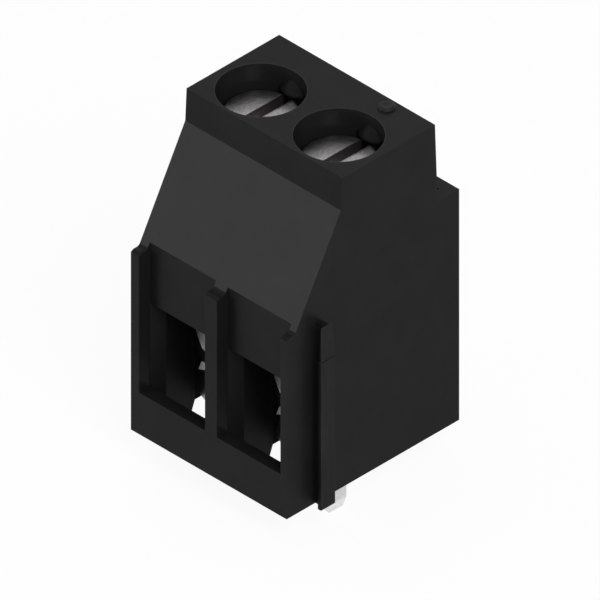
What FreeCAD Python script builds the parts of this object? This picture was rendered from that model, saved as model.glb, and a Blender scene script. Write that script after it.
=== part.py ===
import FreeCAD, Part
import os
import Sketcher
from FreeCAD import Vector

# Board terminal block with rising clamping yokes, for stout wires.
# All sizes are in millimetres. The origin lies on the board face of the housing, midway
# between the outermost screw axes. X runs along the row of poles, -Y is the wire side
# and +Z points away from the board.

# Driving dimensions

ROW_SIZES = {
    "pole_count": 2,
    "pole_pitch": 10.16,
}

HOUSING_SIZES = {
    "front_reach": 11.9,
    "rear_reach": 10.6,
    "housing_height": 34.9,
    "shoulder_height": 31.35,
    "shoulder_front": 4.81,
    "tower_front": 4.64,
    "tower_rear": 7.45,
    "tower_foot": 7.79,
    "ledge_height": 26.06,
}

RIB_SIZES = {
    "rib_height": 20.25,
    "rib_top_depth": 1.05,
    "rib_nose_depth": 0.33,
    "rib_nose_drop": 0.2,
    "rib_root_radius": 0.5,
    "panel_recess": 1.43,
    "sill_height": 4.7,
    "rib_after_joint": 1.06,
    "rib_before_joint": 0.5,
    "end_rib_width": 0.82,
}

WIRE_WAY_SIZES = {
    "mouth_half_width": 3.95,
    "funnel_depth": 1.3,
    "way_half_width": 3.19,
    "way_height": 14.1,
    "guide_end": 5.83,
    "well_half_width": 4.28,
    "well_half_depth": 4.33,
    "well_headroom": 0.5,
    "bore_radius": 4.26,
}

LUG_SIZES = {
    "lug_axis": 5.2,
    "lug_radius": 1.95,
    "lug_drop": 2.2,
    "lug_rise": 1.2,
}

REAR_CORE_SIZES = {
    "core_half_width": 3.68,
    "core_front": 6.6,
    "rear_wall": 1.1,
    "core_roof": 1.26,
}

RAIL_SIZES = {
    "rail_axis": 7.775,
    "rail_neck_half": 0.375,
    "rail_neck_reach": 0.85,
    "rail_head_half": 0.925,
    "rail_head_reach": 1.28,
    "rail_height": 20.4,
    "rail_step_height": 16.55,
    "rail_step_inset": 0.07,
    "rail_top_inset": 0.2,
    "groove_clearance": 0.1,
}

MARK_SIZES = {
    "gate_mark_radius": 0.85,
    "gate_mark_rise": 0.34,
    "gate_mark_round": 0.2,
    "gate_mark_dish": 0.1,
    "gate_mark_rim": 0.22,
    "gate_mark_depth": 6.2,
    "vent_radius": 0.13,
    "vent_depth": 0.4,
    "vent_inset": 1.42,
    "vent_from_rear": 1.36,
}

BAR_SIZES = {
    "bar_thickness": 1.0,
    "bar_underside": 11.8,
    "bar_half_width": 2.83,
    "leg_width": 2.25,
    "leg_reach": 4.21,
    "leg_start": 3.205,
    "pin_length": 3.2,
    "pin_taper_length": 1.05,
    "pin_taper": 0.245,
    "bar_outer_bend": 1.2,
    "bar_inner_bend": 0.2,
    "grip_groove_width": 0.5,
    "grip_groove_depth": 0.2,
    "grip_groove_spacing": 1.4,
    "grip_groove_count": 5,
}

YOKE_SIZES = {
    "yoke_half_width": 4.2,
    "yoke_half_depth": 4.0,
    "yoke_thickness": 1.2,
    "yoke_bottom": 0.2,
    "yoke_outer_bend": 1.3,
    "yoke_inner_bend": 0.3,
    "lap_setback": 1.5,
    "waist_depth": 0.45,
    "waist_low": 3.3,
    "waist_middle": 4.0,
    "waist_high": 6.2,
    "shoulder_half_depth": 4.24,
    "lead_in_start": 5.32,
    "lead_in_end": 7.66,
    "lead_in_angle": 31.8,
}

SCREW_SIZES = {
    "thread_radius": 2.0,
    "head_radius": 3.65,
    "head_height": 3.0,
    "head_drop": 2.45,
    "head_edge": 0.2,
    "slot_width": 1.2,
    "slot_depth": 1.3,
    "neck_radius": 1.6,
    "neck_height": 0.8,
    "tip_chamfer": 0.5,
}

# Clearances between pieces that fit together

CLEARANCES = {
    "leg_clearance": 0.05,
    "bar_clearance": 0.04,
    "tip_clearance": 0.03,
    "thread_clearance": 0.05,
    "yoke_rest_gap": 0.1,
    "notch_clearance": 0.1,
}

SIZE_GROUPS = [ROW_SIZES, HOUSING_SIZES, RIB_SIZES, WIRE_WAY_SIZES, LUG_SIZES, REAR_CORE_SIZES,
               RAIL_SIZES, MARK_SIZES, BAR_SIZES, YOKE_SIZES, SCREW_SIZES, CLEARANCES]

doc = FreeCAD.newDocument("board_terminal")
sheet = doc.addObject("Spreadsheet::Sheet", "dims")


def fill_sheet():
    """Write every driving dimension to the sheet, its name beside it as the alias."""
    row = 0
    for group in SIZE_GROUPS:
        for name, number in group.items():
            row += 1
            sheet.set(f"A{row}", name)
            sheet.set(f"B{row}", str(number))
            sheet.setAlias(f"B{row}", name)
    doc.recompute()


fill_sheet()

# Expressions that several pieces share

AXIS_TO_SIDE = "(dims.pole_pitch / 2)"
HALF_ROW = "(dims.pole_pitch * dims.pole_count / 2)"
PANEL_Y = "(dims.panel_recess - dims.front_reach)"
BAR_TOP = "(dims.bar_underside + dims.bar_thickness)"
SEAT_TOP = f"({BAR_TOP} + dims.bar_clearance)"
LEG_END = "(dims.leg_start + dims.leg_width)"
WINDOW_FLOOR = "(dims.yoke_bottom + dims.yoke_thickness)"
WINDOW_TOP = f"({BAR_TOP} + dims.yoke_rest_gap)"
LAP_HEIGHT = f"({WINDOW_TOP} + dims.yoke_thickness)"
YOKE_TOP = f"({LAP_HEIGHT} + dims.yoke_thickness)"
WAIST_Y = "(dims.yoke_half_depth - dims.waist_depth)"
YOKE_TRAVEL = f"(dims.bar_underside - {WINDOW_FLOOR})"
WELL_HEIGHT = f"({YOKE_TOP} + {YOKE_TRAVEL} + dims.well_headroom)"
HEAD_TOP = "(dims.housing_height - dims.head_drop)"
HEAD_UNDERSIDE = f"({HEAD_TOP} - dims.head_height)"
TIP_HEIGHT = f"({BAR_TOP} + dims.tip_clearance)"
RAIL_Y = "(-dims.rail_axis)"


def size(expression):
    """The number that an expression on the sheet stands for."""
    return float(sheet.evalExpression(expression))


POLES = range(int(size("dims.pole_count")))


def pole_x(pole, offset="0"):
    """Expression for a place in one pole, counted from that pole's screw axis."""
    return f"(dims.pole_pitch * ({pole} + 0.5) - {HALF_ROW} + {offset})"


# Helpers for bodies, sketches and features

SAME_PLACE = 1e-4


def new_body(name):
    """A body whose name is also the name of its file."""
    body = doc.addObject("PartDesign::Body", name)
    body.Label = name
    doc.recompute()
    return body


def new_sketch(body, name, role, x="0", y="0", z="0", turn=None):
    """A sketch on one of the body's own planes, moved and turned in the sketch's own axes."""
    sketch = body.newObject("Sketcher::SketchObject", name)
    for feature in body.Origin.OriginFeatures:
        if feature.Role == role:
            sketch.AttachmentSupport = [(feature, "")]
    sketch.MapMode = "FlatFace"
    for axis, expression in (("x", x), ("y", y), ("z", z)):
        sketch.setExpression(f"AttachmentOffset.Base.{axis}", expression)
    if turn:
        sketch.AttachmentOffset = FreeCAD.Placement(Vector(), FreeCAD.Rotation(Vector(0, 1, 0), size(turn)))
        sketch.setExpression("AttachmentOffset.Rotation.Angle", turn)
    return sketch


def bind(sketch, kind, geometry, point, expression):
    """Hold one coordinate of a sketch point at an expression on the sheet."""
    number = sketch.addConstraint(
        Sketcher.Constraint(kind, -1, 1, geometry, point, size(expression)))
    sketch.setExpression(f"Constraints[{number}]", expression)


def outline(sketch, corners):
    """Closed outline of straight edges; each corner is a pair of expressions."""
    first = sketch.GeometryCount
    points = [Vector(size(x), size(y), 0) for x, y in corners]
    for index, point in enumerate(points):
        following = points[(index + 1) % len(points)]
        sketch.addGeometry(Part.LineSegment(point, following), False)
    for index in range(len(points)):
        following = first + (index + 1) % len(points)
        sketch.addConstraint(Sketcher.Constraint("Coincident", first + index, 2, following, 1))
    for index, (x, y) in enumerate(corners):
        bind(sketch, "DistanceX", first + index, 1, x)
        bind(sketch, "DistanceY", first + index, 1, y)


def rectangle(sketch, left, bottom, right, top):
    """Closed rectangle between four expressions."""
    outline(sketch, [(left, bottom), (right, bottom), (right, top), (left, top)])


def circle(sketch, x, y, radius):
    """Circle whose centre and radius are expressions."""
    centre = Vector(size(x), size(y), 0)
    geometry = sketch.addGeometry(Part.Circle(centre, Vector(0, 0, 1), size(radius)), False)
    bind(sketch, "DistanceX", geometry, 3, x)
    bind(sketch, "DistanceY", geometry, 3, y)
    number = sketch.addConstraint(Sketcher.Constraint("Radius", geometry, size(radius)))
    sketch.setExpression(f"Constraints[{number}]", radius)


def finish_feature(body, feature, grows):
    """Recompute, turn the feature round if it missed the solid, and make it the body's tip."""
    before = feature.BaseFeature.Shape.Volume if feature.BaseFeature else 0.0
    doc.recompute()
    after = feature.Shape.Volume if not feature.Shape.isNull() else before
    missed = after <= before if grows else after >= before
    if missed:
        feature.Reversed = not feature.Reversed
        doc.recompute()
        after = feature.Shape.Volume
        missed = after <= before if grows else after >= before
    if missed:
        raise RuntimeError(f"{body.Label}: {feature.Name} changes nothing")
    body.Tip = feature
    return feature


def pad(body, sketch, length, symmetric=False, reverse=False):
    """Extrude a sketch by an expression."""
    feature = body.newObject("PartDesign::Pad", sketch.Name + "_pad")
    feature.Profile = sketch
    feature.Reversed = reverse
    if symmetric:
        feature.SideType = "Symmetric"
    feature.setExpression("Length", length)
    return finish_feature(body, feature, True)


def pocket(body, sketch, length, symmetric=False, reverse=False):
    """Cut a sketch away to a depth given by an expression."""
    feature = body.newObject("PartDesign::Pocket", sketch.Name + "_cut")
    feature.Profile = sketch
    feature.Reversed = reverse
    if symmetric:
        feature.SideType = "Symmetric"
    feature.setExpression("Length", length)
    return finish_feature(body, feature, False)


def revolve(body, sketch, groove=False):
    """Turn a half profile about the sketch's own vertical axis, as a solid or as a cut."""
    kind = "PartDesign::Groove" if groove else "PartDesign::Revolution"
    feature = body.newObject(kind, sketch.Name + "_turn")
    feature.Profile = sketch
    feature.ReferenceAxis = (sketch, ["V_Axis"])
    feature.Angle = 360
    return finish_feature(body, feature, not groove)


def loft(body, lower, upper):
    """Straight-sided solid between two outlines of the same corners."""
    feature = body.newObject("PartDesign::AdditiveLoft", lower.Name + "_loft")
    feature.Profile = lower
    feature.Sections = [upper]
    feature.Ruled = True
    return finish_feature(body, feature, True)


def edges_at(shape, direction, tests):
    """Names of the straight edges along a direction whose middles pass one of the tests."""
    names = []
    for number, edge in enumerate(shape.Edges, 1):
        if edge.Curve.TypeId != "Part::GeomLine":
            continue
        skew = edge.tangentAt(edge.FirstParameter).cross(direction).Length
        middle = edge.CenterOfMass
        if skew < SAME_PLACE and any(test(middle) for test in tests):
            names.append(f"Edge{number}")
    return names


def near(axis_1, place_1, axis_2, place_2):
    """Test that a point has two given coordinates."""
    target_1 = size(place_1)
    target_2 = size(place_2)

    def test(point):
        off_1 = abs(getattr(point, axis_1) - target_1)
        off_2 = abs(getattr(point, axis_2) - target_2)
        return off_1 < SAME_PLACE and off_2 < SAME_PLACE

    return test


def fillet(body, name, direction, tests, radius):
    """Round the edges of the body's tip that the tests pick."""
    base = body.Tip
    edges = edges_at(base.Shape, direction, tests)
    if len(edges) < len(tests):
        raise RuntimeError(f"{body.Label}: {name} finds {len(edges)} edges")
    feature = body.newObject("PartDesign::Fillet", name)
    feature.Base = (base, edges)
    feature.setExpression("Radius", radius)
    doc.recompute()
    body.Tip = feature
    return feature


ALONG_X = Vector(1, 0, 0)
ALONG_Y = Vector(0, 1, 0)

# Housing: one moulding with a screw tower, a sloping front and a low rear ledge


def add_housing_block(body):
    """Side profile of the housing, as long as the row of poles."""
    sketch = new_sketch(body, "side_profile", "YZ_Plane")
    front = "(-dims.front_reach)"
    outline(sketch, [
        (front, "0"),
        (front, "dims.rib_height - dims.rib_nose_drop"),
        (f"{front} + dims.rib_nose_depth", "dims.rib_height"),
        (f"{front} + dims.rib_top_depth", "dims.rib_height"),
        ("-dims.shoulder_front", "dims.shoulder_height"),
        ("-dims.tower_front", "dims.housing_height"),
        ("dims.tower_rear", "dims.housing_height"),
        ("dims.tower_foot", "dims.ledge_height"),
        ("dims.rear_reach", "dims.ledge_height"),
        ("dims.rear_reach", "0"),
    ])
    pad(body, sketch, f"2 * {HALF_ROW}", symmetric=True)
    root = near("y", f"{front} + dims.rib_top_depth", "z", "dims.rib_height")
    fillet(body, "rib_root", ALONG_X, [root], "dims.rib_root_radius")


def cut_front_pockets(body):
    """Pockets between the front ribs, open at the top and closed below by the sill."""
    sketch = new_sketch(body, "front_pockets", "XZ_Plane", z="dims.front_reach")
    for pole in POLES:
        last = pole == POLES[-1]
        rib = "dims.end_rib_width" if last else "dims.rib_before_joint"
        left = pole_x(pole, f"dims.rib_after_joint - {AXIS_TO_SIDE}")
        right = pole_x(pole, f"{AXIS_TO_SIDE} - {rib}")
        rectangle(sketch, left, "dims.sill_height", right, "dims.shoulder_height")
    pocket(body, sketch, "dims.panel_recess")


def cut_wire_ways(body):
    """Wire ways open to the board: a short funnel, straight guides and flared ends."""
    sketch = new_sketch(body, "wire_ways", "XY_Plane")
    well = "(-dims.well_half_depth)"
    steps = [
        ("dims.mouth_half_width", PANEL_Y),
        ("dims.way_half_width", f"{PANEL_Y} + dims.funnel_depth"),
        ("dims.way_half_width", "-dims.guide_end"),
        ("dims.well_half_width", well),
    ]
    for pole in POLES:
        right = [(pole_x(pole, reach), y) for reach, y in steps]
        left = [(pole_x(pole, f"(-{reach})"), y) for reach, y in reversed(steps)]
        outline(sketch, right + left)
    pocket(body, sketch, "dims.way_height")


def cut_yoke_wells(body):
    """Square wells in which the yokes rise, open to the board."""
    sketch = new_sketch(body, "yoke_wells", "XY_Plane")
    for pole in POLES:
        rectangle(sketch, pole_x(pole, "(-dims.well_half_width)"), "-dims.well_half_depth",
                  pole_x(pole, "dims.well_half_width"), "dims.well_half_depth")
    pocket(body, sketch, WELL_HEIGHT)


def cut_screw_bores(body):
    """Round screwdriver bores from the top face down into the wells."""
    sketch = new_sketch(body, "screw_bores", "XY_Plane", z="dims.housing_height")
    for pole in POLES:
        circle(sketch, pole_x(pole), "0", "dims.bore_radius")
    pocket(body, sketch, f"dims.housing_height - {WELL_HEIGHT}")


def cut_bar_seats(body):
    """Slots that take the legs and ends of the current bars, open to the board."""
    sketch = new_sketch(body, "bar_seats", "XY_Plane")
    inner = "(dims.leg_reach - dims.bar_thickness - dims.leg_clearance)"
    rear = "(dims.bar_half_width + dims.leg_clearance)"
    end = f"({LEG_END} + dims.leg_clearance)"
    for pole in POLES:
        rectangle(sketch, pole_x(pole, inner), f"-{end}",
                  pole_x(pole, "dims.well_half_width"), "-dims.well_half_depth")
        rectangle(sketch, pole_x(pole, "(-dims.well_half_width)"), "dims.well_half_depth",
                  pole_x(pole, rear), end)
    pocket(body, sketch, SEAT_TOP)


def cut_rear_cores(body):
    """Hollows behind the wells that keep the rear of the moulding thin-walled."""
    sketch = new_sketch(body, "rear_cores", "XY_Plane")
    for pole in POLES:
        rectangle(sketch, pole_x(pole, "(-dims.core_half_width)"), "dims.core_front",
                  pole_x(pole, "dims.core_half_width"), "dims.rear_reach - dims.rear_wall")
    pocket(body, sketch, "dims.ledge_height - dims.core_roof")


def add_screw_lugs(body):
    """Domed lugs in the bore walls, flat underneath, that keep the screws from falling out."""
    base = "(dims.housing_height - dims.lug_drop)"
    rise = f"({base} + dims.lug_rise)"
    cap = "((dims.lug_radius * dims.lug_radius + dims.lug_rise * dims.lug_rise) / 2 / dims.lug_rise)"
    for pole in POLES:
        sketch = new_sketch(body, f"screw_lug_{pole + 1}", "YZ_Plane", x="dims.lug_axis", z=pole_x(pole))
        top = Vector(0, size(rise), 0)
        middle = Vector(0, size(base), 0)
        rim = Vector(size("dims.lug_radius"), size(base), 0)
        centre = Vector(0, size(rise) - size(cap), 0)
        start = (rim - centre).getAngle(Vector(1, 0, 0))
        full = Part.Circle(centre, Vector(0, 0, 1), size(cap))
        sketch.addGeometry(Part.LineSegment(top, middle), False)
        sketch.addGeometry(Part.LineSegment(middle, rim), False)
        sketch.addGeometry(Part.ArcOfCircle(full, start, top.sub(centre).getAngle(Vector(1, 0, 0))), False)
        sketch.addConstraint(Sketcher.Constraint("Coincident", 0, 2, 1, 1))
        sketch.addConstraint(Sketcher.Constraint("Coincident", 1, 2, 2, 1))
        sketch.addConstraint(Sketcher.Constraint("Coincident", 2, 2, 0, 1))
        bind(sketch, "DistanceX", 0, 1, "0")
        bind(sketch, "DistanceY", 0, 1, rise)
        bind(sketch, "DistanceX", 0, 2, "0")
        bind(sketch, "DistanceY", 0, 2, base)
        bind(sketch, "DistanceX", 1, 2, "dims.lug_radius")
        bind(sketch, "DistanceY", 1, 2, base)
        bind(sketch, "DistanceX", 2, 3, "0")
        revolve(body, sketch)


def rail_outline(sketch, inset):
    """T-shaped plan of the side rail, drawn in by an inset and let into the side wall."""
    root = f"({HALF_ROW} - dims.panel_recess)"
    neck = f"({HALF_ROW} + dims.rail_neck_reach + {inset})"
    face = f"({HALF_ROW} + dims.rail_head_reach - {inset})"
    neck_half = f"(dims.rail_neck_half - {inset} / 2)"
    head_half = f"(dims.rail_head_half - {inset})"
    outline(sketch, [
        (root, f"{RAIL_Y} - {neck_half}"),
        (neck, f"{RAIL_Y} - {neck_half}"),
        (neck, f"{RAIL_Y} - {head_half}"),
        (face, f"{RAIL_Y} - {head_half}"),
        (face, f"{RAIL_Y} + {head_half}"),
        (neck, f"{RAIL_Y} + {head_half}"),
        (neck, f"{RAIL_Y} + {neck_half}"),
        (root, f"{RAIL_Y} + {neck_half}"),
    ])


def add_side_rail(body):
    """T rail that joins this block to its neighbour: full size below, tapered at the top."""
    lower = new_sketch(body, "rail_lower", "XY_Plane")
    rail_outline(lower, "0")
    pad(body, lower, "dims.rail_step_height")
    start = new_sketch(body, "rail_taper_start", "XY_Plane", z="dims.rail_step_height")
    rail_outline(start, "dims.rail_step_inset")
    end = new_sketch(body, "rail_taper_end", "XY_Plane", z="dims.rail_height")
    rail_outline(end, "dims.rail_top_inset")
    loft(body, start, end)


def cut_side_groove(body):
    """T groove on the left side that slides over the neighbour's rail."""
    sketch = new_sketch(body, "side_groove", "XY_Plane")
    side = f"(-{HALF_ROW})"
    inner = f"({side} + dims.rail_neck_reach - dims.groove_clearance)"
    floor = f"({side} + dims.rail_head_reach + dims.groove_clearance)"
    neck_half = "(dims.rail_neck_half + dims.groove_clearance)"
    head_half = "(dims.rail_head_half + dims.groove_clearance)"
    outline(sketch, [
        (side, f"{RAIL_Y} - {neck_half}"),
        (side, f"{RAIL_Y} + {neck_half}"),
        (inner, f"{RAIL_Y} + {neck_half}"),
        (inner, f"{RAIL_Y} + {head_half}"),
        (floor, f"{RAIL_Y} + {head_half}"),
        (floor, f"{RAIL_Y} - {head_half}"),
        (inner, f"{RAIL_Y} - {head_half}"),
        (inner, f"{RAIL_Y} - {neck_half}"),
    ])
    pocket(body, sketch, "dims.rail_height + dims.groove_clearance")


def add_mould_marks(body):
    """Round gate mark on the tower's top face and a pinhole vent in the ledge."""
    last = POLES[-1]
    top = "dims.housing_height"
    rise = f"({top} + dims.gate_mark_rise)"
    mark = new_sketch(body, "gate_mark", "YZ_Plane", x="dims.gate_mark_depth", z=pole_x(last))
    outline(mark, [
        ("0", f"{top} - dims.gate_mark_rise"),
        ("dims.gate_mark_radius", f"{top} - dims.gate_mark_rise"),
        ("dims.gate_mark_radius", f"{rise} - dims.gate_mark_round"),
        ("dims.gate_mark_radius - dims.gate_mark_round", rise),
        ("dims.gate_mark_radius - dims.gate_mark_round - dims.gate_mark_rim", rise),
        ("0", f"{rise} - dims.gate_mark_dish"),
    ])
    revolve(body, mark)
    vent = new_sketch(body, "ledge_vent", "XY_Plane", z="dims.ledge_height")
    circle(vent, f"{HALF_ROW} - dims.vent_inset", "dims.rear_reach - dims.vent_from_rear",
           "dims.vent_radius")
    pocket(body, vent, "dims.vent_depth")


def build_housing():
    """The whole moulding, cut and added to in the order of its mould."""
    body = new_body("housing")
    add_housing_block(body)
    cut_front_pockets(body)
    cut_wire_ways(body)
    cut_yoke_wells(body)
    cut_screw_bores(body)
    cut_bar_seats(body)
    cut_rear_cores(body)
    add_screw_lugs(body)
    add_side_rail(body)
    cut_side_groove(body)
    add_mould_marks(body)
    return body


# Clamp screw: slotted cheese head, undercut neck, thread drawn as its outer diameter


def build_clamp_screw(pole):
    """Screw that turns in place with its tip on the current bar."""
    body = new_body(f"clamp_screw_{pole + 1}")
    half = new_sketch(body, f"screw_profile_{pole + 1}", "XZ_Plane")
    neck_foot = f"({HEAD_UNDERSIDE} - dims.neck_height)"
    thread_start = f"({neck_foot} - (dims.thread_radius - dims.neck_radius))"
    outline(half, [
        ("0", TIP_HEIGHT),
        ("dims.thread_radius - dims.tip_chamfer", TIP_HEIGHT),
        ("dims.thread_radius", f"{TIP_HEIGHT} + dims.tip_chamfer"),
        ("dims.thread_radius", thread_start),
        ("dims.neck_radius", neck_foot),
        ("dims.neck_radius", HEAD_UNDERSIDE),
        ("dims.head_radius - dims.head_edge", HEAD_UNDERSIDE),
        ("dims.head_radius", f"{HEAD_UNDERSIDE} + dims.head_edge"),
        ("dims.head_radius", f"{HEAD_TOP} - dims.head_edge"),
        ("dims.head_radius - dims.head_edge", HEAD_TOP),
        ("0", HEAD_TOP),
    ])
    revolve(body, half)
    slot = new_sketch(body, f"driver_slot_{pole + 1}", "XZ_Plane")
    rectangle(slot, "-dims.slot_width / 2", f"{HEAD_TOP} - dims.slot_depth",
              "dims.slot_width / 2", f"{HEAD_TOP} + dims.head_height")
    pocket(body, slot, "4 * dims.head_radius", symmetric=True)
    return body


# Clamping yoke: steel strip bent into a closed frame, its ends lapped and tapped on top


def cut_leg_notches(body, pole):
    """Corners notched to clear the bar's two legs, a narrower foot and waisted side edges."""
    corner = "(dims.leg_start - dims.notch_clearance)"
    edge = "(dims.shoulder_half_depth + dims.notch_clearance)"
    inside = "(dims.yoke_half_width - dims.yoke_thickness)"
    outside = "(dims.yoke_half_width + dims.notch_clearance)"
    notches = new_sketch(body, f"leg_notches_{pole + 1}", "XY_Plane")
    rectangle(notches, inside, f"-{edge}", outside, f"-{corner}")
    rectangle(notches, f"-{outside}", corner, f"-{inside}", edge)
    pocket(body, notches, f"2 * {YOKE_TOP}", symmetric=True)
    foot = new_sketch(body, f"foot_edges_{pole + 1}", "YZ_Plane")
    for side in (-1, 1):
        rectangle(foot, f"({side} * {edge})", "0", f"({side} * dims.yoke_half_depth)", "dims.waist_low")
    pocket(body, foot, f"2 * {outside}", symmetric=True)
    for name, side in (("front", -1), ("rear", 1)):
        waist = new_sketch(body, f"waist_{name}_{pole + 1}", "YZ_Plane", z=f"({side} * {outside})")
        outline(waist, [
            (f"({side} * {edge})", "dims.waist_middle"),
            (f"({side} * {WAIST_Y})", "dims.waist_middle"),
            (f"({side} * dims.shoulder_half_depth)", "dims.waist_high"),
            (f"({side} * {edge})", "dims.waist_high"),
        ])
        pocket(body, waist, "dims.yoke_thickness + 2 * dims.notch_clearance")


def across_lead_in(x, y):
    """Distance of a place in plan from the upright plane that runs through the axis at the angle."""
    angle = "dims.lead_in_angle * 1 deg"
    return f"({y} * cos({angle}) - {x} * sin({angle}))"


def cut_lead_ins(body, pole):
    """Edges coined back towards the window, so that no strand catches on a leg."""
    window = "(dims.yoke_half_width - dims.yoke_thickness)"
    outer = "dims.yoke_half_width"
    beyond = across_lead_in("0", "(2 * dims.shoulder_half_depth)")
    low = across_lead_in(window, "dims.shoulder_half_depth")
    high = across_lead_in(outer, "dims.shoulder_half_depth")
    flank = [
        (across_lead_in(outer, "dims.yoke_half_depth"), "dims.waist_low"),
        (beyond, "dims.waist_low"),
        (beyond, "dims.waist_middle"),
        (across_lead_in(outer, WAIST_Y), "dims.waist_middle"),
    ]
    lead_in = [
        (low, "dims.lead_in_start"),
        (beyond, "dims.lead_in_start"),
        (beyond, WINDOW_TOP),
        (high, WINDOW_TOP),
        (high, "dims.lead_in_end"),
    ]
    for name, side in (("front", -1), ("rear", 1)):
        facets = new_sketch(body, f"lead_ins_{name}_{pole + 1}", "YZ_Plane", turn="dims.lead_in_angle")
        for corners in (flank, lead_in):
            outline(facets, [(f"({side} * {away})", height) for away, height in corners])
        pocket(body, facets, "2 * dims.yoke_half_width", reverse=side > 0)


def build_clamping_yoke(pole):
    """Yoke that the screw lifts, so that its floor presses the wire against the current bar."""
    body = new_body(f"clamping_yoke_{pole + 1}")
    frame = new_sketch(body, f"yoke_frame_{pole + 1}", "XZ_Plane")
    side = "dims.yoke_half_width"
    lap = f"({side} - dims.lap_setback)"
    window = "(dims.yoke_half_width - dims.yoke_thickness)"
    outline(frame, [
        (f"-{side}", "dims.yoke_bottom"),
        (side, "dims.yoke_bottom"),
        (side, LAP_HEIGHT),
        (lap, LAP_HEIGHT),
        (lap, YOKE_TOP),
        (f"-{side}", YOKE_TOP),
    ])
    rectangle(frame, f"-{window}", WINDOW_FLOOR, window, WINDOW_TOP)
    pad(body, frame, "2 * dims.shoulder_half_depth", symmetric=True)
    outer = [
        near("x", f"-{side}", "z", "dims.yoke_bottom"),
        near("x", side, "z", "dims.yoke_bottom"),
        near("x", side, "z", LAP_HEIGHT),
        near("x", f"-{side}", "z", YOKE_TOP),
    ]
    fillet(body, f"yoke_outer_bends_{pole + 1}", ALONG_Y, outer, "dims.yoke_outer_bend")
    inner = [
        near("x", f"-{window}", "z", WINDOW_FLOOR),
        near("x", window, "z", WINDOW_FLOOR),
        near("x", window, "z", WINDOW_TOP),
        near("x", f"-{window}", "z", WINDOW_TOP),
    ]
    fillet(body, f"yoke_inner_bends_{pole + 1}", ALONG_Y, inner, "dims.yoke_inner_bend")
    cut_leg_notches(body, pole)
    cut_lead_ins(body, pole)
    bore = new_sketch(body, f"tapped_bore_{pole + 1}", "XY_Plane", z=YOKE_TOP)
    circle(bore, "0", "0", "dims.thread_radius + dims.thread_clearance")
    pocket(body, bore, f"{YOKE_TOP} - {WINDOW_TOP}")
    return body


# Current bar: tinned strip through the yoke, with a leg and a solder pin at each end


def add_leg(body, pole, side, turn):
    """Leg at one end of the bar, with a solder pin that narrows to its tip."""
    outer = f"({turn} * dims.leg_reach)"
    inner = f"({turn} * (dims.leg_reach - dims.bar_thickness))"
    start = f"({-turn} * dims.leg_start)"
    end = f"({-turn} * {LEG_END})"
    taper = f"{turn} * dims.pin_taper"
    foot = "(dims.pin_taper_length - dims.pin_length)"
    leg = new_sketch(body, f"{side}_leg_{pole + 1}", "XY_Plane", z=foot)
    rectangle(leg, inner, start, outer, end)
    pad(body, leg, f"{BAR_TOP} - {foot}")
    root = new_sketch(body, f"{side}_pin_root_{pole + 1}", "XY_Plane", z=foot)
    rectangle(root, inner, start, outer, end)
    tip = new_sketch(body, f"{side}_pin_tip_{pole + 1}", "XY_Plane", z="-dims.pin_length")
    rectangle(tip, f"{inner} + {taper}", f"{start} - {taper}", f"{outer} - {taper}", f"{end} + {taper}")
    loft(body, root, tip)


def build_current_bar(pole):
    """Strip whose plate lies over the wire and whose two legs go through the board."""
    body = new_body(f"current_bar_{pole + 1}")
    plate = new_sketch(body, f"bar_plate_{pole + 1}", "XY_Plane", z="dims.bar_underside")
    half = "dims.bar_half_width"
    reach = "dims.leg_reach"
    outline(plate, [
        (f"-{half}", f"-{LEG_END}"),
        (reach, f"-{LEG_END}"),
        (reach, "-dims.leg_start"),
        (half, "-dims.leg_start"),
        (half, LEG_END),
        (f"-{reach}", LEG_END),
        (f"-{reach}", "dims.leg_start"),
        (f"-{half}", "dims.leg_start"),
    ])
    pad(body, plate, "dims.bar_thickness")
    add_leg(body, pole, "front", 1)
    add_leg(body, pole, "rear", -1)
    outer = [near("x", reach, "z", BAR_TOP), near("x", f"-{reach}", "z", BAR_TOP)]
    fillet(body, f"bar_outer_bends_{pole + 1}", ALONG_Y, outer, "dims.bar_outer_bend")
    inside = "(dims.leg_reach - dims.bar_thickness)"
    inner = [near("x", inside, "z", "dims.bar_underside"),
             near("x", f"-{inside}", "z", "dims.bar_underside")]
    fillet(body, f"bar_inner_bends_{pole + 1}", ALONG_Y, inner, "dims.bar_inner_bend")
    grooves = new_sketch(body, f"grip_grooves_{pole + 1}", "YZ_Plane")
    count = int(size("dims.grip_groove_count"))
    for groove in range(count):
        centre = f"(dims.grip_groove_spacing * ({groove} - (dims.grip_groove_count - 1) / 2))"
        outline(grooves, [
            (f"{centre} - dims.grip_groove_width / 2", "dims.bar_underside"),
            (f"{centre} + dims.grip_groove_width / 2", "dims.bar_underside"),
            (centre, "dims.bar_underside + dims.grip_groove_depth"),
        ])
    pocket(body, grooves, "2 * dims.bar_half_width", symmetric=True)
    return body


def place_at_pole(body, pole):
    """Stand a body that was drawn about its screw axis in its own pole."""
    body.setExpression("Placement.Base.x", pole_x(pole))


def check_model():
    """Stop on any failed object and on any piece that isn't one sound solid."""
    for item in doc.Objects:
        if "Invalid" in item.State or "Error" in item.State:
            raise RuntimeError(f"{item.Name} failed: {item.State}")
    for body in pieces:
        shape = body.Shape
        if shape.isNull() or not shape.isValid() or len(shape.Solids) != 1:
            raise RuntimeError(f"{body.Label} is not one sound solid")


pieces = [build_housing()]
for pole in POLES:
    for build in (build_clamp_screw, build_clamping_yoke, build_current_bar):
        piece = build(pole)
        place_at_pole(piece, pole)
        pieces.append(piece)

doc.recompute()
check_model()

os.makedirs("parts", exist_ok=True)
for body in pieces:
    body.Shape.exportStep(f"parts/{body.Label}.step")
    box = body.Shape.BoundBox
    print(f"{body.Label}: volume {body.Shape.Volume:.2f} mm3, "
          f"x {box.XMin:.2f} {box.XMax:.2f}, y {box.YMin:.2f} {box.YMax:.2f}, "
          f"z {box.ZMin:.2f} {box.ZMax:.2f}")
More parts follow.
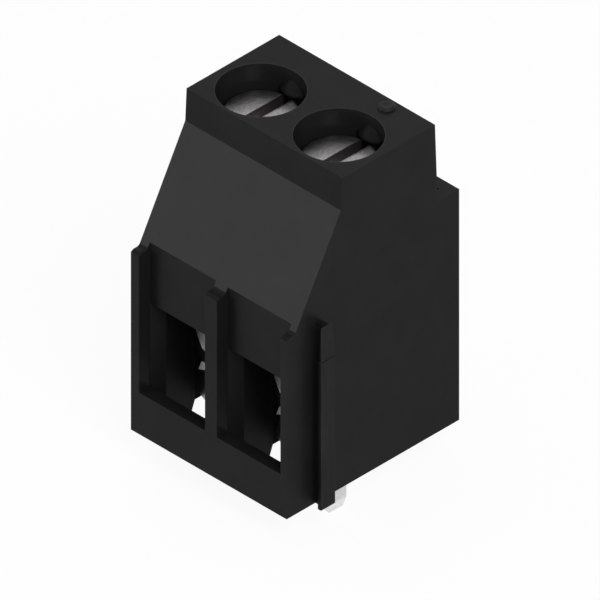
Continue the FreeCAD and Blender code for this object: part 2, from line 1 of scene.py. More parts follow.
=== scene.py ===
# %% [markdown]
# # A board terminal with two screws
#
# This lesson dresses a screw terminal for circuit boards: a black moulding with two slotted
# screws, two steel yokes that clamp the wires, and two tinned strips that are soldered to the
# board. The shapes and sizes come from the CAD frame, in metres. Blender adds what CAD leaves
# plain: the thread on the screws, softened edges, and finishes with a fine grain.

# %% Load the frame
import math

import bmesh
import bpy
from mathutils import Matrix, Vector


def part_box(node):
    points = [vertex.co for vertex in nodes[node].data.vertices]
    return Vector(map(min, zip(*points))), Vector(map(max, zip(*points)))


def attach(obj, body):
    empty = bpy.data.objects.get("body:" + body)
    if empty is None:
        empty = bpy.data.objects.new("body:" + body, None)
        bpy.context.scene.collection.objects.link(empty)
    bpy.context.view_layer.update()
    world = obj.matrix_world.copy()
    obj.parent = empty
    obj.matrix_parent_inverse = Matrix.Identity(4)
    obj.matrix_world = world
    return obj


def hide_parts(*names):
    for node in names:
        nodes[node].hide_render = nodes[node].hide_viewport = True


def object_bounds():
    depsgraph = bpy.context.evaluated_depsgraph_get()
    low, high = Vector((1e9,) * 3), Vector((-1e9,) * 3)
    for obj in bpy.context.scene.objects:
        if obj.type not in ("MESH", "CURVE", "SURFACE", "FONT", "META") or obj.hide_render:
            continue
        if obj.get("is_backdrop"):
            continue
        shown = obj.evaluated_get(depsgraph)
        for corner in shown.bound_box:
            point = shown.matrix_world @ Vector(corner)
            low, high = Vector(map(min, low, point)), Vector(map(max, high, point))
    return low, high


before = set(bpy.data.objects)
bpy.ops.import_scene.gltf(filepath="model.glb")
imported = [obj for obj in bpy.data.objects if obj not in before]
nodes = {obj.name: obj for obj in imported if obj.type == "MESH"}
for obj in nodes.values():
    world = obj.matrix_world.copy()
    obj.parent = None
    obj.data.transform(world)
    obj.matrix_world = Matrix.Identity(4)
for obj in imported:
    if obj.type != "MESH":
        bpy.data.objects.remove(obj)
cad_low, cad_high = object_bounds()
MM = 0.001
POLES = (1, 2)
print("nodes:", ", ".join(sorted(nodes)))

# %% [markdown]
# ## Camera
#
# The picture is a parallel view along a cube's diagonal, so width, depth and height all have
# the same scale in it. A perspective camera would have to stand very far away to do that. An
# orthographic one does it anywhere: it turns 45 degrees round the part and rises 35.26 degrees,
# and its scale is the width of what it sees.

# %% Camera
CAMERA_AZIMUTH = 45
CAMERA_ELEVATION = math.degrees(math.atan(1 / math.sqrt(2)))
CAMERA_DISTANCE = 0.3
PICTURE_WIDTH = 0.0553
AIM = Vector((0, 0, 13.75 * MM))


def direction(azimuth, elevation):
    """Unit vector from the part to a place round it; azimuth 0 is on the wire side."""
    turn, rise = math.radians(azimuth), math.radians(elevation)
    level = math.cos(rise)
    return Vector((math.sin(turn) * level, -math.cos(turn) * level, math.sin(rise)))


def stand(thing, azimuth, elevation, distance):
    """Put a camera or a lamp round the part, turned towards it."""
    back = direction(azimuth, elevation)
    thing.location = AIM + back * distance
    thing.rotation_mode = "QUATERNION"
    thing.rotation_quaternion = (-back).to_track_quat("-Z", "Y")
    bpy.context.scene.collection.objects.link(thing)
    return thing


camera_data = bpy.data.cameras.new("isometric_camera")
camera_data.type = "ORTHO"
camera_data.ortho_scale = PICTURE_WIDTH
camera = stand(bpy.data.objects.new("isometric_camera", camera_data),
               CAMERA_AZIMUTH, CAMERA_ELEVATION, CAMERA_DISTANCE)
bpy.context.scene.camera = camera
bpy.context.scene.view_settings.view_transform = "Standard"
print("camera at", [round(c, 3) for c in camera.location])

# %% [markdown]
# ## Shader arithmetic
#
# A material is a graph of nodes, and a graph in code soon gets long. It reads better as
# formulas, so one small class wraps the output socket of a node and gives it the operators of
# Python: `1 - mask * 0.3` adds its Math nodes by itself. A second class holds one material, or
# the world, and adds any other node in one line: its type, its settings, and what goes into its
# sockets.

# %% A socket with arithmetic


class Signal:
    """The output of a node, which adds Math nodes when a formula uses it."""

    def __init__(self, finish, socket):
        self.finish = finish
        self.socket = socket

    def math(self, operation, *terms):
        return self.finish.node("ShaderNodeMath", {"operation": operation}, terms)

    def __add__(self, other):
        return self.math("ADD", self, other)

    def __sub__(self, other):
        return self.math("SUBTRACT", self, other)

    def __rsub__(self, other):
        return self.math("SUBTRACT", other, self)

    def __mul__(self, other):
        return self.math("MULTIPLY", self, other)

    def __truediv__(self, other):
        return self.math("DIVIDE", self, other)

    __radd__ = __add__
    __rmul__ = __mul__


# %% A material in formulas
# A Mix node has sockets for every kind of data; these are its factor and its colours.
MIX_FACTOR, MIX_FIRST, MIX_SECOND, MIX_RESULT = 0, 6, 7, 2
# How far the normal of a rounded corner has turned where the corner mask starts and is full.
CORNER_FROM, CORNER_TO = 0.02, 0.25


class Finish:
    """The nodes of one material or world, with a short way to add each of them."""

    def __init__(self, owner):
        owner.use_nodes = True
        self.owner = owner
        self.tree = owner.node_tree
        self.tree.nodes.clear()

    def node(self, kind, settings=None, sockets=None, output=0):
        """Add a node: its type, then its settings, then its sockets by name or by place."""
        made = self.tree.nodes.new(kind)
        for key, value in (settings or {}).items():
            setattr(made, key, value)
        pairs = sockets.items() if isinstance(sockets, dict) else enumerate(sockets or ())
        for place, value in pairs:
            if isinstance(value, Signal):
                self.tree.links.new(value.socket, made.inputs[place])
            else:
                made.inputs[place].default_value = value
        return Signal(self, made.outputs[output]) if made.outputs else None

    def mix(self, mask, first, second):
        """Blend two colours by a mask from 0 to 1."""
        return self.node("ShaderNodeMix", {"data_type": "RGBA"},
                         {MIX_FACTOR: mask, MIX_FIRST: first, MIX_SECOND: second}, MIX_RESULT)

    def ease(self, amount, low, high):
        """Rise smoothly from 0 to 1 while an amount goes from low to high."""
        return self.node("ShaderNodeMapRange", {"interpolation_type": "SMOOTHSTEP"},
                         {"Value": amount, "From Min": low, "From Max": high})

    def place(self, stretch=(1, 1, 1)):
        """A point of the piece in metres, squeezed along some axes for long grain."""
        point = self.node("ShaderNodeTexCoord", output="Object")
        return self.node("ShaderNodeVectorMath", {"operation": "MULTIPLY"}, (point, stretch))

    def along(self, axis):
        """One coordinate of the point, X, Y or Z."""
        return self.node("ShaderNodeSeparateXYZ", {}, (self.place(),), output=axis)

    def noise(self, grain, detail, stretch=(1, 1, 1), point=None):
        """Cloudy noise whose lumps are about one grain across, from 0 to 1."""
        if point is None:
            point = self.place(stretch)
        return self.node("ShaderNodeTexNoise", {},
                         {"Vector": point, "Scale": 1 / grain, "Detail": detail})

    def bump(self, height, depth):
        """Turn a height from 0 to 1 into a slightly tilted normal; depth is in metres."""
        return self.node("ShaderNodeBump", {},
                         {"Strength": 1.0, "Distance": depth, "Height": height})

    def edge(self, radius):
        """1 where the surface turns a corner within a radius, 0 on the flat."""
        soft = self.node("ShaderNodeBevel", {"samples": 6}, {"Radius": radius})
        hard = self.node("ShaderNodeNewGeometry", output="Normal")
        same = self.node("ShaderNodeVectorMath", {"operation": "DOT_PRODUCT"},
                         (soft, hard), "Value")
        return self.ease(1 - same, CORNER_FROM, CORNER_TO)

    def surface(self, **sockets):
        """The main shader, its sockets named with low lines instead of spaces."""
        values = {name.replace("_", " "): value for name, value in sockets.items()}
        shader = self.node("ShaderNodeBsdfPrincipled", {}, values)
        self.node("ShaderNodeOutputMaterial", {}, {"Surface": shader})
        return self.owner


print("shader helpers ready")

# %% [markdown]
# ## Floor and world
#
# The part stands on white. The floor is a plain pale sheet that catches a faint shadow. To the
# camera and in reflections, most of its light is a steady white, so the background is white
# without any more light on the black moulding. The world does the same above the horizon: an
# even grey that lights the part, and white where it is seen near the horizon.

# %% Floor
FLOOR_REACH = 1.5
FLOOR_GAP = 0.01 * MM
FLOOR_COLOUR = (0.82, 0.82, 0.82, 1)
WHITE = (1, 1, 1, 1)
WHITE_SHARE = 0.93


def seen(finish):
    """1 for a ray from the camera, from a reflection or through a clear thing, else 0."""
    rays = [finish.node("ShaderNodeLightPath", output=f"Is {kind} Ray")
            for kind in ("Camera", "Glossy", "Transmission")]
    return rays[0] + rays[1] + rays[2]


def build_floor():
    finish = Finish(bpy.data.materials.new("pale_floor"))
    paper = finish.node("ShaderNodeBsdfDiffuse", {}, {"Color": FLOOR_COLOUR})
    white = finish.node("ShaderNodeEmission", {}, {"Color": WHITE, "Strength": 1.0})
    both = finish.node("ShaderNodeMixShader", {}, (seen(finish) * WHITE_SHARE, paper, white))
    finish.node("ShaderNodeOutputMaterial", {}, {"Surface": both})
    mesh = bpy.data.meshes.new("floor")
    height = cad_low.z - FLOOR_GAP
    square = ((-1, -1), (1, -1), (1, 1), (-1, 1))
    mesh.from_pydata([(x * FLOOR_REACH, y * FLOOR_REACH, height) for x, y in square],
                     [], [(0, 1, 2, 3)])
    mesh.materials.append(finish.owner)
    floor = bpy.data.objects.new("floor", mesh)
    bpy.context.scene.collection.objects.link(floor)
    floor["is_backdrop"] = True
    return floor


print("floor reaches", build_floor().dimensions.x, "m")

# %% World
WORLD_GREY = (0.30, 0.30, 0.305, 1)
WHITE_UP_TO = math.sin(math.radians(25))
GREY_FROM = math.sin(math.radians(60))


def build_world():
    finish = Finish(bpy.data.worlds.new("grey_room"))
    way = finish.node("ShaderNodeTexCoord", output="Generated")
    height = finish.node("ShaderNodeSeparateXYZ", {}, (way,), output="Z")
    horizon = 1 - finish.ease(height, WHITE_UP_TO, GREY_FROM)
    grey = finish.node("ShaderNodeBackground", {}, {"Color": WORLD_GREY, "Strength": 1.0})
    white = finish.node("ShaderNodeBackground", {}, {"Color": WHITE, "Strength": 1.0})
    both = finish.node("ShaderNodeMixShader", {}, (seen(finish) * horizon, grey, white))
    finish.node("ShaderNodeOutputWorld", {}, {"Surface": both})
    return finish.owner


bpy.context.scene.world = build_world()
print("world:", bpy.context.scene.world.name)

# %% [markdown]
# ## Lamps
#
# Matt black hardly scatters light, so what shows its form is the soft gloss of large lamps. A
# small bright one stands low at the front left, where the sloping face mirrors it towards the
# camera. A broad one behind the part and one nearly overhead light the top face, and the screw
# heads deep in their bores, which the bores' own walls shade in part. The key lamp on the right
# is for the side and the sills, and a low one beside it fills the rest.

# %% Lamps
LAMPS = (
    # name, azimuth, elevation, distance, width, height, radiance
    ("slope_lamp", -36, 10, 0.80, 0.20, 0.16, 28.0),
    ("rear_lamp", -135, 42, 0.80, 0.45, 0.30, 1.4),
    ("top_lamp", -100, 70, 0.60, 0.45, 0.45, 1.2),
    ("key_lamp", 66, 44, 0.60, 0.28, 0.28, 9.6),
    ("fill_lamp", 98, 14, 0.60, 0.40, 0.30, 1.8),
)
for name, azimuth, elevation, distance, width, height, radiance in LAMPS:
    lamp = bpy.data.lights.new(name, "AREA")
    lamp.shape = "RECTANGLE"
    lamp.size = width
    lamp.size_y = height
    lamp.energy = radiance * math.pi * width * height
    stand(bpy.data.objects.new(name, lamp), azimuth, elevation, distance)
    print(name, "gives", round(lamp.energy, 3), "W")

# %% [markdown]
# ## Black polyamide
#
# Terminals of this kind are moulded in polyamide, dyed black right through. The mould is mostly
# spark-eroded, which leaves a fine even grain, and the melt leaves faint cloudy shades and
# upright flow lines. A picture of such a surface could be wrapped round the part, but noise at
# the real size of the grain has no seams and no limit of sharpness.
#
# Two places get another surface, and that is a guess, since the photo shows neither closely. The
# bores are smoother, as from polished core pins, and the deep wells of the yokes are rougher, as
# from coarse cores, which keeps the glare of the white floor out of them. The finish finds both
# by where they are, because the CAD solid is one piece.

# %% Masks for places on the moulding
SCREW_AXIS = sum(corner.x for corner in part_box("clamp_screw_2")) / 2
BORE_RADIUS = 4.31 * MM
BORE_FOOT = 27 * MM
WELL_HALF_WIDTH = 4.6 * MM
WELL_FRONT = -5.75 * MM
WELL_BACK = 10 * MM
WELL_TOP = 20 * MM
SOFT_BORDER = 0.2 * MM
LIMIT_START = 0.25 * MM
LIMIT_FULL = 0.15 * MM


def inside_bores(finish):
    """1 in the two screw bores, 0 on the rest of the moulding."""
    x, y = finish.along("X"), finish.along("Y")
    off_axis = x.math("ABSOLUTE", x) - SCREW_AXIS
    radius = off_axis.math("SQRT", off_axis * off_axis + y * y)
    near_axis = 1 - finish.ease(radius, BORE_RADIUS, BORE_RADIUS + 0.5 * SOFT_BORDER)
    above_foot = finish.ease(finish.along("Z"), BORE_FOOT, BORE_FOOT + MM)
    return near_axis * above_foot


def inside_wells(finish):
    """1 in the deep wells of the yokes, 0 on the outer faces and in the front pockets."""
    x = finish.along("X")
    off_axis = x.math("ABSOLUTE", x.math("ABSOLUTE", x) - SCREW_AXIS)
    sideways = 1 - finish.ease(off_axis, WELL_HALF_WIDTH, WELL_HALF_WIDTH + SOFT_BORDER)
    behind_front = finish.ease(finish.along("Y"), WELL_FRONT - SOFT_BORDER, WELL_FRONT)
    before_back = 1 - finish.ease(finish.along("Y"), WELL_BACK, WELL_BACK + SOFT_BORDER)
    below_top = 1 - finish.ease(finish.along("Z"), WELL_TOP, WELL_TOP + MM)
    return sideways * behind_front * before_back * below_top


def near_limit(finish, axis, limit):
    """1 on what reaches the part's greatest X or Z, to about a fifth of a millimetre."""
    return finish.ease(finish.along(axis), limit - LIMIT_START, limit - LIMIT_FULL)


print("screw axes at", round(SCREW_AXIS / MM, 2), "mm left and right of the middle")

# %% [markdown]
# Wear tells how a part is used. Corners rub first, so a corner mask makes them lighter. The
# rail, which slides along its neighbour's groove, has fine upright lines. Its edges are painted
# lighter still, a painted highlight, and so is the round gate mark on the top, which is lighter
# than the face it stands on. The walls of the bores are painted lighter too, painted light.
#
# The colours, the roughness and the weak mirror of this black, and of the metals below, were not
# measured on a part. They were chosen until the render had the photo's grey levels under the
# five lamps above, so under other lamps they may need another look.

# %% Black polyamide
SPARK_GRAIN = 0.07 * MM
SPARK_DEPTH = 0.004 * MM
MELT_CLOUD = 3.5 * MM
FLOW_LINE = 0.25 * MM
DRAG_WIDTH = 0.12 * MM
CORNER_WEAR_AND_HIGHLIGHT = 0.10 * MM
POLYAMIDE_DARK = (0.0077, 0.0080, 0.0078, 1)
POLYAMIDE_LIGHT = (0.0092, 0.0095, 0.0093, 1)
POLYAMIDE_WEAR_AND_HIGHLIGHT = (0.021, 0.0215, 0.021, 1)
POLYAMIDE_ROUGHNESS = 0.31
POLYAMIDE_MIRROR = 0.045


def black_polyamide():
    finish = Finish(bpy.data.materials.new("black_polyamide"))
    grain = finish.noise(SPARK_GRAIN, 2)
    clouds = finish.noise(MELT_CLOUD, 4)
    flow = finish.noise(FLOW_LINE, 2, stretch=(1, 1, 0.08))
    corner = finish.edge(CORNER_WEAR_AND_HIGHLIGHT)
    bores = inside_bores(finish)
    wells = inside_wells(finish)
    drag = finish.ease(finish.noise(DRAG_WIDTH, 2, stretch=(1, 1, 0.02)), 0.4, 0.6)
    rail = near_limit(finish, "X", cad_high.x)
    mark = near_limit(finish, "Z", cad_high.z)
    # The rail's edges, the gate mark and the bore walls are painted lighter: painted highlights and
    # painted light. The lighter corners are wear.
    rail_lines_and_highlight = drag * 0.5 + corner * 0.9 - 0.12
    wear_and_highlight = corner * 0.4 + bores * 0.25 + mark * 0.6 + rail * rail_lines_and_highlight
    shade = finish.ease(clouds * 0.8 + flow * 0.2, 0.35, 0.65)
    dyed = finish.mix(shade, POLYAMIDE_DARK, POLYAMIDE_LIGHT)
    roughness = POLYAMIDE_ROUGHNESS + grain * 0.08 + flow * 0.04 - corner * 0.08
    return finish.surface(
        Base_Color=finish.mix(wear_and_highlight, dyed, POLYAMIDE_WEAR_AND_HIGHLIGHT),
        Roughness=roughness - bores * 0.24 + wells * 0.5,
        Specular_IOR_Level=POLYAMIDE_MIRROR,
        Normal=finish.bump(grain, SPARK_DEPTH),
    )


FINISHES = {"housing": black_polyamide()}
print("moulding finish:", len(FINISHES["housing"].node_tree.nodes), "nodes")

# %% [markdown]
# ## Metals
#
# The screws and yokes are taken as steel with a thin bright zinc coat. A screw is turned, so its
# faces have fine rings about its axis. The photo has cloudy stains on the heads. Here they are
# short streaks along the rings, in places of their own: noise that is laid on radius and angle
# instead of X and Y bends round the axis by itself.

# %% Turned zinc
HEAD_RADIUS = 3.65 * MM
RING_WIDTH = 0.11 * MM
RING_WOBBLE = 1.2 * MM
STREAK_WIDTH = 0.22 * MM
# What one radian round the axis counts as; the less it is, the longer the streaks.
RADIAN_LENGTH = 0.5 * MM
PIT_WIDTH = 0.05 * MM
STAIN_WIDTH = 1.5 * MM
TURNED_DEPTH = 0.010 * MM
ZINC_COOL = (0.17, 0.17, 0.175, 1)
ZINC_WARM = (0.24, 0.228, 0.232, 1)


def turned_zinc():
    finish = Finish(bpy.data.materials.new("turned_zinc"))
    flat = finish.place(stretch=(1, 1, 0))
    radius = finish.node("ShaderNodeVectorMath", {"operation": "LENGTH"}, (flat,), "Value")
    wobble = finish.noise(RING_WOBBLE, 2) * (0.4 * RING_WIDTH)
    rings = radius.math("SINE", (radius + wobble) * (2 * math.pi / RING_WIDTH)) * 0.5 + 0.5
    angle = radius.math("ARCTAN2", finish.along("Y"), finish.along("X"))
    wrapped = finish.node("ShaderNodeCombineXYZ", {}, (radius, angle * RADIAN_LENGTH, 0.0))
    streaks = finish.noise(STREAK_WIDTH, 3, point=wrapped)
    pits = finish.noise(PIT_WIDTH, 3)
    stain = finish.ease(streaks * 0.7 + finish.noise(STAIN_WIDTH, 3) * 0.3, 0.38, 0.62)
    return finish.surface(
        Base_Color=finish.mix(stain, ZINC_COOL, ZINC_WARM),
        Metallic=1.0,
        Roughness=0.20 + rings * 0.04 + pits * 0.09 + streaks * 0.08,
        Normal=finish.bump(rings * 0.4 + pits * 0.3 + streaks * 0.3, TURNED_DEPTH),
    )


FINISHES["screw"] = turned_zinc()
print("turned zinc: a ring every", round(RING_WIDTH / MM, 2), "mm")

# %% [markdown]
# The slot is cut after the head is turned, and plated with it. The blade of the cutter leaves
# long fine scratches. In the photo the slot is bright at the end towards the wires and dark at
# the other end. Its colour is painted light at the one end and dark at the other, a painted
# reflection and painted shade, which brings the render nearer to that, though the bright end is
# still darker than the photo's.

# %% Sawn zinc
SCRATCH_WIDTH = 0.04 * MM
SLOT_BLOT = 0.5 * MM
SAWN_DEPTH = 0.002 * MM
ZINC_LIT_END = (0.70, 0.65, 0.67, 1)
ZINC_SHADED_END = (0.38, 0.35, 0.36, 1)


def sawn_zinc():
    finish = Finish(bpy.data.materials.new("sawn_zinc"))
    scratches = finish.noise(SCRATCH_WIDTH, 3, stretch=(1, 0.04, 1))
    stain = finish.noise(SLOT_BLOT, 3) - 0.5
    # Painted reflection and shade: light at the end towards the wires, dark at the other end,
    # broken by random blots.
    slot_light_and_shade = finish.ease(finish.along("Y") / HEAD_RADIUS + stain, -0.8, 0.7)
    return finish.surface(
        Base_Color=finish.mix(slot_light_and_shade, ZINC_LIT_END, ZINC_SHADED_END),
        Metallic=1.0,
        Roughness=0.16 + slot_light_and_shade * 0.16 + scratches * 0.10,
        Normal=finish.bump(scratches, SAWN_DEPTH),
    )


FINISHES["slot"] = sawn_zinc()
print("sawn zinc: scratches", round(SCRATCH_WIDTH / MM, 2), "mm wide")

# %% [markdown]
# A yoke is bent from rolled strip, so its grain is long fine lines and not rings. Its zinc is
# lighter and less glossy than on the screws, with pits, cloudy stains and rougher corners.

# %% Rolled zinc
ROLLING_LINE = 0.05 * MM
STRIP_PIT = 0.08 * MM
STRIP_STAIN = 2.0 * MM
STRIP_CORNER = 0.12 * MM
ROLLED_DEPTH = 0.003 * MM
STRIP_DULL = (0.34, 0.34, 0.345, 1)
STRIP_BRIGHT = (0.44, 0.44, 0.44, 1)


def rolled_zinc():
    finish = Finish(bpy.data.materials.new("rolled_zinc"))
    rolling = finish.noise(ROLLING_LINE, 3, stretch=(1, 1, 0.04))
    pits = finish.noise(STRIP_PIT, 2)
    stain = finish.ease(finish.noise(STRIP_STAIN, 3), 0.35, 0.7)
    corner = finish.edge(STRIP_CORNER)
    return finish.surface(
        Base_Color=finish.mix(stain, STRIP_DULL, STRIP_BRIGHT),
        Metallic=1.0,
        Roughness=0.30 + rolling * 0.12 + pits * 0.06 + corner * 0.08,
        Normal=finish.bump(rolling * 0.7 + pits * 0.3, ROLLED_DEPTH),
    )


FINISHES["yoke"] = rolled_zinc()
print("rolled zinc: lines", round(ROLLING_LINE / MM, 2), "mm wide")

# %% [markdown]
# The current strips are taken as dipped in tin: whiter than zinc, softly rippled, with a faint
# pattern of crystals. In the photo the taper of the solder pin is brighter than the length above
# it. Here the length above the taper is painted greyer, a painted shade.

# %% Dipped tin
CRYSTAL_WIDTH = 0.35 * MM
RIPPLE_WIDTH = 0.6 * MM
RIPPLE_DEPTH = 0.004 * MM
TIN_BRIGHT = (0.82, 0.82, 0.81, 1)
TIN_DULL = (0.68, 0.68, 0.68, 1)
TIN_SHADED = (0.58, 0.58, 0.577, 1)
PIN_TAPER_TOP = -2.15 * MM
SHADE_START = PIN_TAPER_TOP - 0.2 * MM
SHADE_FULL = PIN_TAPER_TOP + 0.4 * MM


def dipped_tin():
    finish = Finish(bpy.data.materials.new("dipped_tin"))
    crystals = finish.node("ShaderNodeTexVoronoi", {"feature": "F1"},
                           {"Vector": finish.place(), "Scale": 1 / CRYSTAL_WIDTH})
    ripple = finish.noise(RIPPLE_WIDTH, 3)
    dull = finish.ease(crystals * 0.3 + ripple * 0.7, 0.3, 0.7)
    # Painted shade: the tin is painted greyer on the length above the taper.
    pin_shade = finish.ease(finish.along("Z"), SHADE_START, SHADE_FULL)
    dipped = finish.mix(dull, TIN_BRIGHT, TIN_DULL)
    return finish.surface(
        Base_Color=finish.mix(pin_shade * (0.75 + dull * 0.25), dipped, TIN_SHADED),
        Metallic=1.0,
        Roughness=0.26 + ripple * 0.10,
        Normal=finish.bump(ripple, RIPPLE_DEPTH),
    )


FINISHES["bar"] = dipped_tin()
print("finishes:", ", ".join(material.name for material in FINISHES.values()))

# %% [markdown]
# ## Softened edges
#
# The CAD solids have knife-sharp edges, and no moulded or punched piece does: its corners are
# round by a few hundredths of a millimetre, and catch a thin line of light. A CAD node's mesh is
# never edited, but modifiers may work on it. The first welds the triangles into one skin, the
# second joins the triangles of each flat face, the third rounds every sharp edge, and the last
# lets the large faces decide how the shading turns over the rounding.

# %% Edge modifiers
HOUSING_EDGE = 0.05 * MM
STRIP_EDGE = 0.08 * MM
EDGE_SEGMENTS = 2
WELD_DISTANCE = 0.0005 * MM
FLAT_ANGLE = math.radians(0.5)
SHARP_ANGLE = math.radians(20)


def round_edges(thing, width, sharp):
    """Weld the triangles, join those of a flat face, and round edges that turn more than sharp."""
    weld = thing.modifiers.new("skin", "WELD")
    weld.merge_threshold = WELD_DISTANCE
    flats = thing.modifiers.new("flats", "DECIMATE")
    flats.decimate_type = "DISSOLVE"
    flats.angle_limit = FLAT_ANGLE
    rounding = thing.modifiers.new("rounding", "BEVEL")
    rounding.width = width
    rounding.segments = EDGE_SEGMENTS
    rounding.limit_method = "ANGLE"
    rounding.angle_limit = sharp
    return rounding


def soften(node, width, material):
    """Round a CAD node's edges and give it a finish; its own points stay where they are."""
    round_edges(node, width, SHARP_ANGLE).miter_outer = "MITER_ARC"
    node.modifiers.new("shading", "WEIGHTED_NORMAL")
    for polygon in node.data.polygons:
        polygon.use_smooth = True
    for place in node.material_slots:
        place.link = "OBJECT"
        place.material = material


soften(nodes["housing"], HOUSING_EDGE, FINISHES["housing"])
for pole in POLES:
    soften(nodes[f"clamping_yoke_{pole}"], STRIP_EDGE, FINISHES["yoke"])
    soften(nodes[f"current_bar_{pole}"], STRIP_EDGE, FINISHES["bar"])
print("softened:", ", ".join(name for name in sorted(nodes) if nodes[name].modifiers))

# %% [markdown]
# ## Screws
#
# CAD draws the M4 thread as a plain cylinder of its outer size. The real one is a helix: a
# groove with flanks at 60 degrees that climbs 0.7 mm for each turn. It could be a profile swept
# along a curve, but that crosses itself where the turns meet. Here a skin of columns stands
# round the axis, and each column carries the same zigzag of root and crest, lifted by its share
# of one pitch, so that the last column meets the first one a whole turn higher.

# %% Thread
COLUMNS = 64
PITCH = 0.7 * MM
CREST_RADIUS = 2.0 * MM
ROOT_RADIUS = 1.6 * MM
TIP_RADIUS = 1.5 * MM
NECK_RADIUS = 1.6 * MM
# The height, as a share of the pitch, and the radius of each corner of one turn.
ZIGZAG = ((0.0, ROOT_RADIUS), (0.21, ROOT_RADIUS), (0.54, CREST_RADIUS), (0.67, CREST_RADIUS))


def thread_columns(low, high):
    """Points of each column from the screw's tip to its neck, on a right-hand helix."""
    turns = math.ceil((high - low) / PITCH) + 1
    columns = []
    for column in range(COLUMNS):
        share = column / COLUMNS
        points = []
        for turn in range(-1, turns + 1):
            for step, radius in ZIGZAG:
                z = low + PITCH * (turn + step + share)
                z = min(max(z, low), high)
                tip_cone = TIP_RADIUS + (z - low)
                neck_cone = NECK_RADIUS + (high - z)
                points.append((min(radius, tip_cone, neck_cone), z))
        columns.append(points)
    return columns


def skin(mesh, columns, shift):
    """Faces between neighbouring columns; the last one joins the first, shifted by some rows."""
    rows = []
    for number, column in enumerate(columns):
        turn = 2 * math.pi * number / COLUMNS
        rows.append([mesh.verts.new((radius * math.cos(turn), radius * math.sin(turn), z))
                     for radius, z in column])
    for number, left in enumerate(rows):
        last = number == COLUMNS - 1
        right, step = (rows[0], shift) if last else (rows[number + 1], 0)
        for row in range(len(left) - 1 - step):
            mesh.faces.new((left[row], right[row + step], right[row + step + 1], left[row + 1]))


def turned_skin(mesh, profile):
    """A plain turned skin of the same columns through a list of radius and height."""
    skin(mesh, [profile] * COLUMNS, 0)


print("thread has", len(ZIGZAG), "corners a turn and", COLUMNS, "columns")

# %% [markdown]
# The neck under the head is undercut, and the head is a plain cheese head. Both are turned from
# one profile with the same columns as the thread, so all of it welds into one closed skin.

# %% Screw blank
HEAD_HEIGHT = 3.0 * MM
HEAD_EDGE = 0.2 * MM
NECK_HEIGHT = 0.8 * MM
NECK_CHAMFER = 0.1 * MM


def into_scene(name, mesh):
    """Make a scene object of a bmesh, and free the bmesh."""
    data = bpy.data.meshes.new(name)
    mesh.to_mesh(data)
    mesh.free()
    thing = bpy.data.objects.new(name, data)
    bpy.context.scene.collection.objects.link(thing)
    return thing


def screw_blank(name, bottom, top):
    """A screw before its slot is sawn."""
    underside = top - HEAD_HEIGHT
    neck = underside - NECK_HEIGHT
    mesh = bmesh.new()
    skin(mesh, thread_columns(bottom, neck), len(ZIGZAG))
    turned_skin(mesh, [(0, bottom), (TIP_RADIUS, bottom)])
    turned_skin(mesh, [
        (NECK_RADIUS, neck),
        (NECK_RADIUS, underside - NECK_CHAMFER),
        (NECK_RADIUS + NECK_CHAMFER, underside),
        (HEAD_RADIUS - HEAD_EDGE, underside),
        (HEAD_RADIUS, underside + HEAD_EDGE),
        (HEAD_RADIUS, top - HEAD_EDGE),
        (HEAD_RADIUS - HEAD_EDGE, top),
        (0, top),
    ])
    bmesh.ops.remove_doubles(mesh, verts=mesh.verts, dist=WELD_DISTANCE)
    bmesh.ops.dissolve_degenerate(mesh, edges=mesh.edges, dist=WELD_DISTANCE)
    bmesh.ops.recalc_face_normals(mesh, faces=mesh.faces)
    open_edges = sum(1 for edge in mesh.edges if len(edge.link_faces) != 2)
    print(name, "has", open_edges, "open edges before its slot is sawn")
    return into_scene(name, mesh)


print("heads:", round(2 * HEAD_RADIUS / MM, 2), "mm across,", round(HEAD_HEIGHT / MM, 2), "mm high")

# %% [markdown]
# The slot is cut with a box by an exact boolean, which is how a saw would take it out, and the
# cutter is thrown away. Its edges are broken a little, as on a screw that was brushed after
# sawing. The faces inside it are found by their place, and get the sawn finish.

# %% Slot
SLOT_WIDTH = 1.2 * MM
SLOT_DEPTH = 1.3 * MM
SLOT_EDGE = 0.05 * MM
SLOT_ANGLE = math.radians(75)


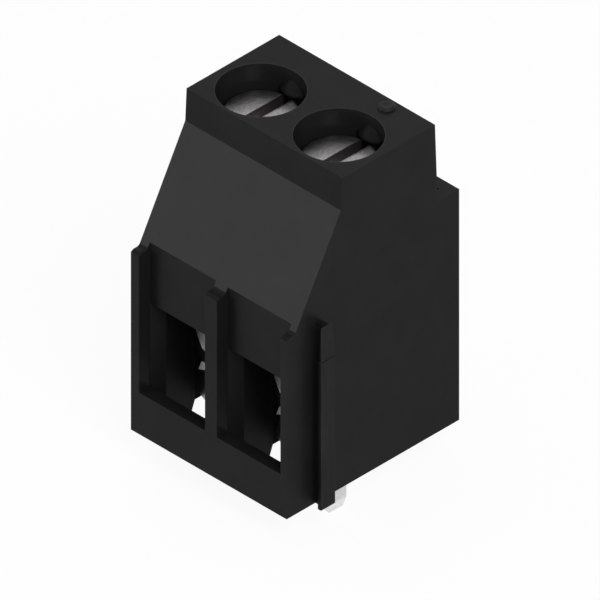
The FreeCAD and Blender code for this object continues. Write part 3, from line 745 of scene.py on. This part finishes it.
def slot_cutter(top):
    """A box that reaches past the head on both sides and above it."""
    mesh = bmesh.new()
    bmesh.ops.create_cube(mesh, size=1)
    for vertex in mesh.verts:
        vertex.co.x *= SLOT_WIDTH
        vertex.co.y *= 4 * HEAD_RADIUS
        vertex.co.z = top + MM if vertex.co.z > 0 else top - SLOT_DEPTH
    return into_scene("slot_cutter", mesh)


def saw_slot(screw, top):
    """Cut the slot and work it into the screw's own mesh."""
    cutter = slot_cutter(top)
    cut = screw.modifiers.new("slot", "BOOLEAN")
    cut.operation = "DIFFERENCE"
    cut.solver = "EXACT"
    cut.object = cutter
    round_edges(screw, SLOT_EDGE, SLOT_ANGLE)
    graph = bpy.context.evaluated_depsgraph_get()
    screw.data = bpy.data.meshes.new_from_object(screw.evaluated_get(graph))
    screw.modifiers.clear()
    bpy.data.objects.remove(cutter)


def plate(screw, top):
    """Give the slot's faces the sawn finish, and all others the turned one."""
    margin = 0.1 * SLOT_EDGE
    screw.data.materials.clear()
    for finish in ("screw", "slot"):
        screw.data.materials.append(FINISHES[finish])
    for face in screw.data.polygons:
        deep = top - SLOT_DEPTH - margin < face.center.z < top - 3 * margin
        between = abs(face.center.x) < SLOT_WIDTH / 2 + margin
        face.material_index = 1 if deep and between else 0


print("slot:", round(SLOT_WIDTH / MM, 2), "mm wide and", round(SLOT_DEPTH / MM, 2), "mm deep")

# %% Screws
SMOOTH_ANGLE = math.radians(30)

for pole in POLES:
    low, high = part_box(f"clamp_screw_{pole}")
    screw = screw_blank(f"threaded_screw_{pole}", low.z, high.z)
    saw_slot(screw, high.z)
    plate(screw, high.z)
    screw.location.x = (low.x + high.x) / 2
    screw.data.shade_smooth()
    screw.data.set_sharp_from_angle(angle=SMOOTH_ANGLE)
    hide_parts(f"clamp_screw_{pole}")
    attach(screw, f"clamp_screw_{pole}")
    print(screw.name, "has", len(screw.data.vertices), "vertices")

# %% [markdown]
# ## Size
#
# The size of the dressed scene is printed in millimetres.

# %% Dressed size
low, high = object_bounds()
print("dressed size in mm:", [round(c / MM, 2) for c in high - low])
